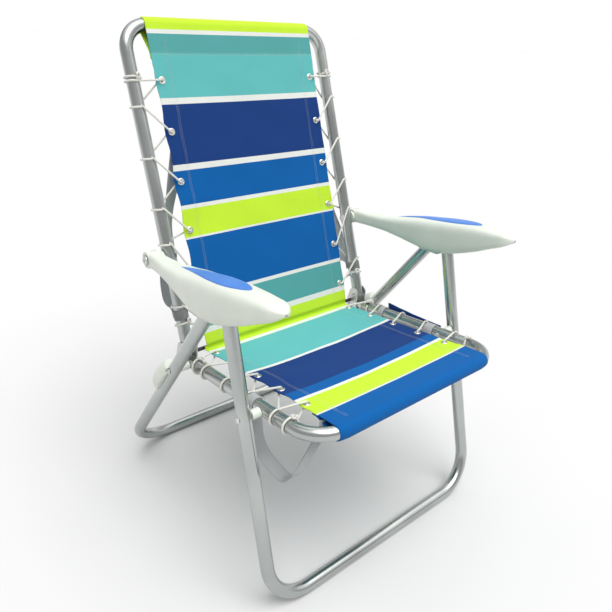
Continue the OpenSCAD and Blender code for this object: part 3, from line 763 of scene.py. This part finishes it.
def stitches(path, lift, pitch=0.0042, length=0.0030, half=0.00035):
    """Short thread bars along a path of points with a common upward direction."""
    parts = []
    total = 0.0
    marks = [0.0]
    for a, b in zip(path, path[1:]):
        total += (b - a).length
        marks.append(total)
    count = int(total / pitch)
    k = 0
    for i in range(count):
        d = (i + 0.5) * pitch
        while marks[k + 1] < d:
            k += 1
        a, b = path[k], path[k + 1]
        t = (b - a).normalized()
        mid = a + t * (d - marks[k]) + lift
        side = t.cross(lift).normalized()
        rise = lift.normalized()
        ends = [mid - t * length / 2, mid - t * length / 5, mid + t * length / 5, mid + t * length / 2]
        rings = []
        for e, size, lower in zip(ends, (0.35, 1.0, 1.0, 0.35), (0.0004, 0.0, 0.0, 0.0004)):
            rings.append([e - rise * lower + (side * math.cos(w) + rise * math.sin(w)) * half * size
                          for w in (0.0, 1.57, 3.14, 4.71)])
        parts.append(loft(rings))
    return parts


def part_seams(part, first, last, across):
    """Two lines of stitches along each side hem, and two across where the sleeve is sewn down."""
    lift = at_x(0, part.front) * SEAM_LIFT
    seams = []
    for x in (-0.1645, -0.1605, 0.1605, 0.1645):
        seams += stitches([on_cloth(part, x, s) for s in spread(first, last, ROW_STEP)], lift)
    for s in across:
        line = [at_x(x, part.place(s, cloth_lift(part, x, s)))
                for x in spread(-SEAM_HALF, SEAM_HALF, ROW_STEP)]
        seams += stitches(line, lift)
    return seams


def sewn_piece(name, parts, body):
    piece = new_mesh(name, *join_parts(parts))
    piece.data.materials.append(THREAD)
    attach(piece, body)
    return piece


back_sewing = sewn_piece("back_stitching", part_seams(BACK_PART, 0.0, 0.585, (0.555, 0.559)), "back")
seat_sewing = sewn_piece("seat_stitching", part_seams(SEAT_PART, 0.008, 0.385, (0.340, 0.344)), "seat")

# ---------------------------------------------------------------- grommets
# The rim's outline, as (radius, height above the cloth's middle)
EYELET = [(0.0033, -0.0012), (0.0031, 0.0004), (0.0034, 0.0016), (0.0042, 0.0021), (0.0056, 0.0020),
          (0.0068, 0.0014), (0.0074, 0.0008), (0.0073, -0.0008), (0.0066, -0.0016), (0.0050, -0.0020),
          (0.0040, -0.0020)]
EYELET_SIDES = 28


def eyelet(centre, normal):
    """A pressed eyelet turned round the cloth's normal."""
    side = normal.orthogonal().normalized()
    other = normal.cross(side)
    rings = []
    for i in range(EYELET_SIDES):
        a = 2 * math.pi * i / EYELET_SIDES
        out = side * math.cos(a) + other * math.sin(a)
        rings.append([centre + out * rad + normal * high for rad, high in EYELET])
    rings.append(rings[0])
    return loft(rings, caps=False)


def eyelets(part):
    """All the eyelets along one edge of a part, and their mirror images."""
    node = part.body + "_grommets"
    rings = [eyelet(on_cloth(part, part.hole_x, s), at_x(0, part.front)) for s in part.holes]
    place_pair("visual_" + node, rings, NICKEL, (part.body, part.body), node)


eyelets(BACK_PART)
eyelets(SEAT_PART)

# ---------------------------------------------------------------- lacing: elastic cord round the tubes
CORD_R = 0.0020
WRAP_R = TUBE_R + CORD_R + 0.0003
BACK_WRAPS = [0.084, 0.206, 0.274, 0.369, 0.464]
SEAT_WRAPS = [0.290, 0.212, 0.143, 0.074]


def wrap(s, rise=0.005):
    """Cord round the outer side of the tube, from its front to its rear."""
    out = []
    for i in range(15):
        a = math.radians(105 - 210 * i / 14)
        out.append((FRAME_X + WRAP_R * math.cos(a), s + rise * (i / 14 - 0.5), WRAP_R * math.sin(a)))
    return out


def through(x, s, lift):
    """Cord through the hole of a grommet, from behind the cloth to its face."""
    return [(x + 0.0050, s, lift - 0.0048), (x + 0.0016, s, lift - 0.0042), (x, s, lift - 0.0020),
            (x, s, lift + 0.0020), (x + 0.0016, s, lift + 0.0042), (x + 0.0050, s, lift + 0.0048)]


def turns(s, start, count, rise):
    """Tight turns of cord round the tube, in steps of 20 degrees."""
    out = []
    for i in range(count + 1):
        a = math.radians(start - 20 * i)
        out.append((FRAME_X + WRAP_R * math.cos(a), s + rise * i, WRAP_R * math.sin(a)))
    return out


def back_hole(k):
    s = BACK_PART.holes[k]
    return through(BACK_PART.hole_x, s, CLOTH_RISE * s / BACK_LENGTH)


def seat_hole(k):
    s = SEAT_PART.holes[k]
    return through(SEAT_PART.hole_x, s, 0.0075 + 0.0061 * s / SEAT_LENGTH)


back_route = turns(0.053, 215, 16, -0.00055) + back_hole(0)
for k in range(5):
    back_route += wrap(BACK_WRAPS[k]) + back_hole(k + 1)
back_route += turns(0.509, 105, 30, 0.00042)
seat_route = turns(0.330, 215, 16, -0.00055) + seat_hole(4)
for k in range(4):
    seat_route += wrap(SEAT_WRAPS[k], -0.005) + seat_hole(3 - k)
seat_route += turns(0.040, 105, 16, 0.00055)


def knot(centre, along, out):
    """A tight overhand knot: three small turns of cord in a bundle."""
    parts = []
    third = along.cross(out)
    for turn in range(3):
        path = []
        for i in range(17):
            a = 2 * math.pi * i / 16
            path.append(centre + (along * math.cos(a) * 0.0042 + third * math.sin(a) * 0.0036)
                        + out * (0.0012 * turn + 0.0014 * math.sin(2 * a)) + along * 0.0015 * (turn - 1))
        parts.append(sweep(path, CORD_R * 0.92, out, 8))
    return parts


def lacing(name, body, route, place, axis, knots):
    path = smooth_path([at_x(x, place(s, n)) for x, s, n in route], 2)
    parts = [sweep(path, CORD_R, axis, 10)]
    for x, s, n, out in knots:
        parts += knot(at_x(x, place(s, n)), axis, out)
    place_pair("visual_" + name, parts, WHITE_BRAID, (body, body), name)


back_out = at_x(0, BACK_FRONT)
seat_out = at_x(0, RAIL_UP)
lacing("back_lacing", "back", back_route, on_back, at_x(0, BACK_DIR),
       [(0.2300, 0.053, 0.0150, back_out), (0.2320, 0.517, 0.0150, back_out)])
lacing("seat_lacing", "seat", seat_route, on_rail, at_x(0, RAIL_DIR),
       [(0.2310, 0.329, 0.0150, seat_out), (0.2310, 0.045, 0.0150, seat_out)])

# ---------------------------------------------------------------- arms
# Sections in mm: distance in front of the arm's pivot, bottom and top from the pivot, inner and outer x
ARM_ROWS = [(-40, -15, 17, 256, 283), (0, -16, 17, 256, 284), (45, -13, 17, 256, 289),
            (100, -12, 23, 256, 299), (150, -16, 33, 256, 308), (190, -21, 42, 256, 314),
            (230, -24, 49, 256, 316), (270, -19, 56, 256, 317), (310, -6, 61, 257, 316),
            (350, 11, 64, 259, 312), (390, 31, 65, 262, 306), (420, 43, 65, 264, 302),
            (447, 52, 64, 266, 300), (470, 56, 62, 268, 298)]
ARM_END = 420.0
ARM_ROUND = 27.0
SQUARENESS = 3.4


def arm_value(u, k):
    """Column k of the rows at u, on a smooth curve through them."""
    i = 1
    while u > ARM_ROWS[i + 1][0] and i + 3 < len(ARM_ROWS):
        i += 1
    a, b, c, d = (ARM_ROWS[j][k] for j in range(i - 1, i + 3))
    t = (u - ARM_ROWS[i][0]) / (ARM_ROWS[i + 1][0] - ARM_ROWS[i][0])
    bend = t * t * (a - 2.5 * b + 2 * c - d / 2)
    return b + t * (c - a) / 2 + bend + t ** 3 * (1.5 * b - a / 2 - 1.5 * c + d / 2)


def tip_scale(u):
    if u < ARM_END - ARM_ROUND:
        return 1.0
    return math.sqrt(max(0.0004, 1 - ((u - ARM_END + ARM_ROUND) / ARM_ROUND) ** 2))


def arm_size(u):
    """Middle x, middle height, half width and half height of the arm's section, in mm."""
    low, high, inner, outer = (arm_value(u, k) for k in (1, 2, 3, 4))
    tip = tip_scale(u)
    return (inner + outer) / 2, (low + high) / 2, (outer - inner) / 2 * tip, (high - low) / 2 * tip


def arm_point(x, u, z):
    return Vector((x / 1000, ARM_PIVOT.x - u / 1000, ARM_PIVOT.y + z / 1000))


def corner(v):
    return math.copysign(abs(v) ** (2 / SQUARENESS), v)


def arm_top(u, x):
    mid_x, mid_z, half_w, half_h = arm_size(u)
    return mid_z + half_h * (1 - min(0.999, abs(x - mid_x) / half_w) ** SQUARENESS) ** (1 / SQUARENESS)


def arm_section(u, first, last, count, inset):
    mid_x, mid_z, half_w, half_h = arm_size(u)
    inset = min(inset, half_w * 0.6, half_h * 0.6)
    out = []
    for i in range(count + 1):
        a = math.radians(first + (last - first) * i / count)
        out.append(arm_point(mid_x + (half_w - inset) * corner(math.cos(a)), u,
                             mid_z + (half_h - inset) * corner(math.sin(a))))
    return out


def arm_shell():
    """A hood with a thick rim, open below."""
    rings = []
    steps = [ARM_END * math.sin(math.pi / 2 * i / 90) for i in range(90)] + [ARM_END - 0.3]
    for u in steps:
        outer = arm_section(u, -52, 232, 44, 0)
        inner = arm_section(u, 232, -52, 30, 3.0)
        rings.append(outer + inner)
    return loft(rings, u_scale=0.15)


def lathe_x(x_points, centre, sides=48):
    """A turned piece about an axis along X, from (x, radius) points in mm."""
    rings = []
    for x, rad in x_points:
        r = rad / 1000
        rings.append([Vector((x / 1000, centre.x + r * math.cos(a), centre.y + r * math.sin(a)))
                      for a in (2 * math.pi * k / sides for k in range(sides))])
    return loft(rings)


TOP_PIN = FRONT_PIVOT + BACK_DIR * (ARM_PIVOT - HINGE).length


def arm_parts():
    """The hood, its round end on the back tube, and the two bosses inside it for the front leg's pin."""
    boss = lathe_x([(256, 0.5), (256, 14.6), (256.5, 15.9), (258, 16.6), (281, 16.9), (284, 16.2),
                    (285, 14.4), (285, 11.2), (284.4, 10.6), (284.4, 0.5)], ARM_PIVOT)
    inner_boss = lathe_x([(258, 0.5), (258, 9.6), (265.6, 9.6), (266, 9.2), (266, 4.4), (262, 4.2),
                          (262, 0.5)], TOP_PIN)
    outer_boss = lathe_x([(314, 0.5), (314, 9.6), (290, 9.6), (289.6, 9.2), (289.6, 4.4), (308, 4.2),
                          (308, 0.5)], TOP_PIN)
    return [arm_shell(), boss, inner_boss, outer_boss]


INLAY_START = 126
INLAY_LENGTH = 214
INLAY_HALF = 17.5


def inlay_half(t):
    """The leaf's half width: narrow at both ends and widest towards the front."""
    return INLAY_HALF * max(0.0, math.sin(math.pi * t * t)) ** 0.55 + 0.6


def inlay_part():
    """Leaf shaped pad that follows the arm's top, domed, with a soft edge."""
    rings = []
    for i in range(61):
        t = 0.5 - math.cos(math.pi * i / 60) / 2
        u = INLAY_START + INLAY_LENGTH * t
        mid_x = arm_size(u)[0]
        half = inlay_half(t)
        over, under = [], []
        for k in range(15):
            q = -1 + 2 * k / 14
            x = mid_x + half * q
            rise = 1.7 * (1 - abs(q) ** 8) ** 0.5 * min(1.0, half / 4)
            over.append(arm_point(x, u, arm_top(u, x) + rise))
            under.append(arm_point(x, u, arm_top(u, x) - 0.8))
        rings.append(under + over[::-1])
    return loft(rings)


def rivet_part(p, x0, x1, rad):
    """A rivet with a domed head at each end."""
    head = rad * 1.8
    dome = [(2.1, 0.4), (2.0, head * 0.45), (1.5, head * 0.82), (0.7, head), (0.0, head * 0.97), (0.0, rad)]
    return lathe_x([(x0 - d, h) for d, h in dome] + [(x1 + d, h) for d, h in reversed(dome)], p, 32)


# Where each rivet is in side view, the x of its two heads, and its radius
RIVET_PAIRS = {
    "hinge_rivets": (HINGE, 221.7, 252.3, 3.0),
    "bracket_rivets": (on_rail(-0.012), 221.7, 252.3, 2.0),
    "front_pivot_rivets": (FRONT_PIVOT, 224.3, 292.2, 3.0),
    "rear_pivot_rivets": (REAR_PIVOT, 224.3, 292.2, 3.0),
}


for rivet_name, (place, x0, x1, rad) in RIVET_PAIRS.items():
    place_both(rivet_name, rivet_part(place, x0, x1, rad), STEEL, "seat")
# The arm's bolt, as (x, radius) in mm: a low head inside, the shank, and a domed, dished head outside
BOLT = [(222.2, 0.4), (222.3, 4.0), (222.8, 7.2), (223.6, 8.0), (224.2, 8.0), (224.3, 4.0), (285.3, 4.0),
        (285.3, 8.4), (286.0, 9.0), (287.6, 8.8), (288.9, 7.2), (289.3, 5.0), (289.2, 3.4), (287.2, 3.2),
        (287.0, 0.4)]
place_both("arm_bolts", lathe_x(BOLT, ARM_PIVOT, 40), STEEL, "back")

ARM_BODIES = ("arm_right_body", "arm_left_body")
place_pair("moulded_arm", arm_parts(), CREAM, ARM_BODIES, "arm")
place_pair("leaf_inlay", [inlay_part()], INLAY_BLUE, ARM_BODIES, "arm_inlay")

# ---------------------------------------------------------------- straps behind the back
# Each stop in mm: along and in front of the back tube, x, half width, half thickness, and twist in degrees
SHOULDER_STOPS = [(546, 6.5, 100, 23, 2.4, 0), (528, 5.6, 105, 23, 2.5, 0), (500, -3, 114, 23, 2.5, 0),
                  (450, -17, 131, 23, 2.5, 5), (400, -28, 148, 23, 2.5, 12), (350, -36, 165, 23, 2.5, 24),
                  (311, -41, 180, 23, 2.5, 36), (270, -44, 195, 22, 2.5, 43), (235, -44, 206, 22, 2.5, 43),
                  (199, -43, 213, 22, 2.5, 34), (160, -39, 222, 23, 2.5, 16), (130, -36, 227, 23, 2.5, 4),
                  (106, -33, 229, 23, 2.5, 0), (95, -30.5, 231, 21, 2.2, 0), (88, -28, 233.5, 17, 1.8, 0),
                  (83, -25, 235.5, 12, 1.3, 0), (78, -20.8, 236.5, 10, 1, 0), (73, -16.6, 237, 10, 1, 0),
                  (60, -16, 237, 10, 1, 0)]
shoulder_band = []
for q in smooth_path([Vector(stop) for stop in SHOULDER_STOPS], 5):
    twist = math.radians(q[5])
    wide = Vector((math.cos(twist), 0, 0)) + at_x(0, BACK_FRONT) * math.sin(twist)
    place = at_x(q[2] / 1000, on_back(q[0] / 1000, q[1] / 1000))
    shoulder_band.append((place, wide, q[3] / 1000, q[4] / 1000))
for strap in place_pair("padded_strap", [band(shoulder_band, edge=0.2)], GREY_WEBBING, ("back", "back"),
                        "shoulder_strap"):
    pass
edges = []
for side in (-1, 1):
    edge = [p + wide * (half - 0.0006) * side for p, wide, half, thick in shoulder_band[:-15]]
    edges.append(sweep(edge, 0.0015, at_x(0, BACK_FRONT), 8))
place_pair("strap_binding", edges, PALE_WEBBING, ("back", "back"), None)


def tube_band(place, axis_dir, s0, s1, radius=0.0146):
    """Webbing sewn round a tube."""
    rings = []
    side = Vector((1, 0, 0))
    other = at_x(0, axis_dir).cross(side)
    for s, rad in ((s0, radius - 0.0014), (s0, radius - 0.0002), (s0 + 0.0006, radius), (s1 - 0.0006, radius),
                   (s1, radius - 0.0002), (s1, radius - 0.0014)):
        centre = at_x(FRAME_X, place(s))
        rings.append([centre + (side * math.cos(a) + other * math.sin(a)) * rad
                      for a in (2 * math.pi * k / 40 for k in range(40))])
    rings.append(rings[0])
    return loft(rings, caps=False, u_scale=0.09)


# The anchor bands carry painted shade: they are given the tone of the tube in shadow
anchor = tube_band(on_back, BACK_DIR, 0.056, 0.076)
place_both("shoulder_strap_anchors", anchor, ANCHOR_SHADE_WEBBING, "back")

# ---------------------------------------------------------------- pouch on the right rail
LOOPS = [(0.084, 0.014), (0.219, 0.023)]
loop_parts = [tube_band(on_rail, RAIL_DIR, s, s + wide) for s, wide in LOOPS]
loops = new_mesh("pouch_webbing_loops", *join_parts(loop_parts))
loops.data.materials.append(PALE_WEBBING)
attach(loops, "seat")
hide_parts("pouch_loops")


POUCH_X = 0.2599
POUCH_START = 0.084
POUCH_STOP = 0.240
POUCH_TOP = 0.006
POUCH_DROP = 0.128


def pouch_part():
    """A flat bag: its sides sag a little, its lower corners are round, and it is fuller near the bottom."""
    rings = []
    for j in range(41):
        t = j / 40
        depth = POUCH_TOP - POUCH_DROP * t
        inset = 0.010 * max(0.0, (t - 0.85) / 0.15) ** 2 + 0.003 * math.sin(math.pi * t)
        full = 0.0012 + 0.0030 * math.sin(math.pi * min(1.0, t * 1.02)) ** 0.6
        full *= max(0.25, 1 - max(0.0, (t - 0.93) / 0.07) ** 2)
        s0, s1 = POUCH_START + inset, POUCH_STOP - inset
        ring = []
        for side in (1, -1):
            for k in range(33):
                q = k / 32 if side == 1 else 1 - k / 32
                fold = 0.0006 * math.sin(q * 23 + t * 5) * math.sin(t * 9 + q * 4)
                edge = max(0.12, (1 - (2 * q - 1) ** 8) ** 0.5)
                rise = 0.011 * (1 - q) * (1 - t) ** 3 - 0.002 * math.sin(q * math.pi)
                p = on_rail(s0 + (s1 - s0) * q, depth + rise)
                ring.append(Vector((POUCH_X + side * (full * edge + fold * edge), p.x, p.y)))
        rings.append(ring)
    return loft(rings)


POUCH_STRIPES = [(0.052, NAVY), (0.058, WHITE), (0.098, LIME), (0.104, WHITE), (0.5, BLUE)]
POUCH_CLOTH = cloth_material("pouch_stripes", POUCH_STRIPES)
verts, faces, uvs = pouch_part()
uvs = [(v[1], 0.358 - v[2] + 0.02) for v in verts]
pouch = new_mesh("sewn_pouch", verts, faces, uvs)
pouch.data.materials.append(POUCH_CLOTH)
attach(pouch, "seat")
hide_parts("storage_pouch")

# ---------------------------------------------------------------- carry strap under the left rail
# Each stop in mm: along and above the rail, and how far left of the middle
CARRY_STOPS = [(228, -15.4, 236), (228.5, -40, 236), (230, -66, 236), (237, -86, 235.5), (253, -99, 235),
               (277, -110, 233), (299, -117.5, 231), (313, -113, 228), (326, -97, 222), (337, -72, 216),
               (347, -46, 208), (354, -22, 198), (357, -6, 191), (358, 7, 188)]
CARRY_HALF = 0.013
CARRY_THICK = 0.001
carry_band = []
for q in smooth_path([Vector(stop) for stop in CARRY_STOPS], 5):
    place = at_x(-q[2] / 1000, on_rail(q[0] / 1000, q[1] / 1000))
    carry_band.append((place, Vector((1, 0, 0)), CARRY_HALF, CARRY_THICK))
carry = new_mesh("carry_webbing", *band(carry_band, edge=0.8))
carry.data.materials.append(PALE_WEBBING)
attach(carry, "seat")
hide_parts("carry_strap")
